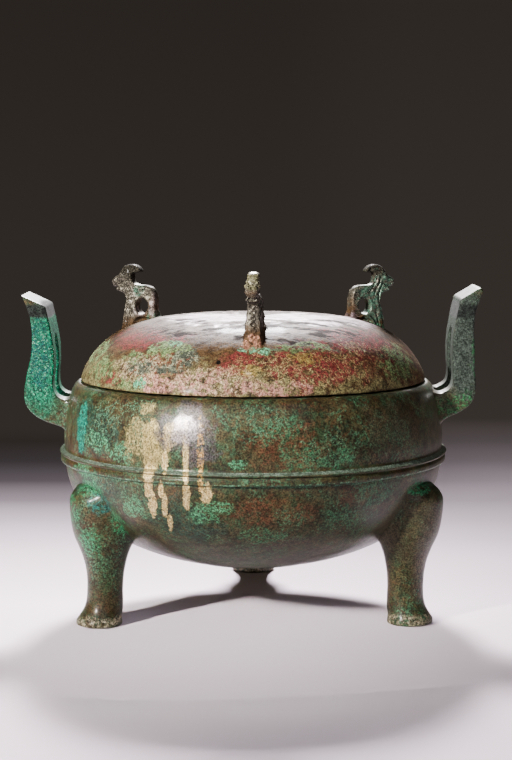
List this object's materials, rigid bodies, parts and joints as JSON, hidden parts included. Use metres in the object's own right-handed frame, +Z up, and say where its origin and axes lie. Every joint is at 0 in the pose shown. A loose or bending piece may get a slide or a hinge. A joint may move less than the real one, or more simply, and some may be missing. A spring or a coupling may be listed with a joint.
{
  "type": "lidded bronze ding tripod vessel",
  "caption": "Round bronze ding on hoofed legs, with upright ears on bent arms and a domed lift-off lid that carries beast-shaped loops.",
  "frame": {"origin": "on the bowl's axis, at the plane that the hooves stand on", "axes": "+Z up; +X through the right ear; +Y away from the front, through the back leg"},
  "size_m": [0.245, 0.2109, 0.1844],
  "materials": {
    "bowl_bronze": "cast bronze with green and brown patina",
    "lid_bronze": "cast bronze with brown, red and green patina"
  },
  "bodies": {
    "root": {"vessel": "bowl_bronze", "lid": "lid_bronze"}
  },
  "joints": []
}
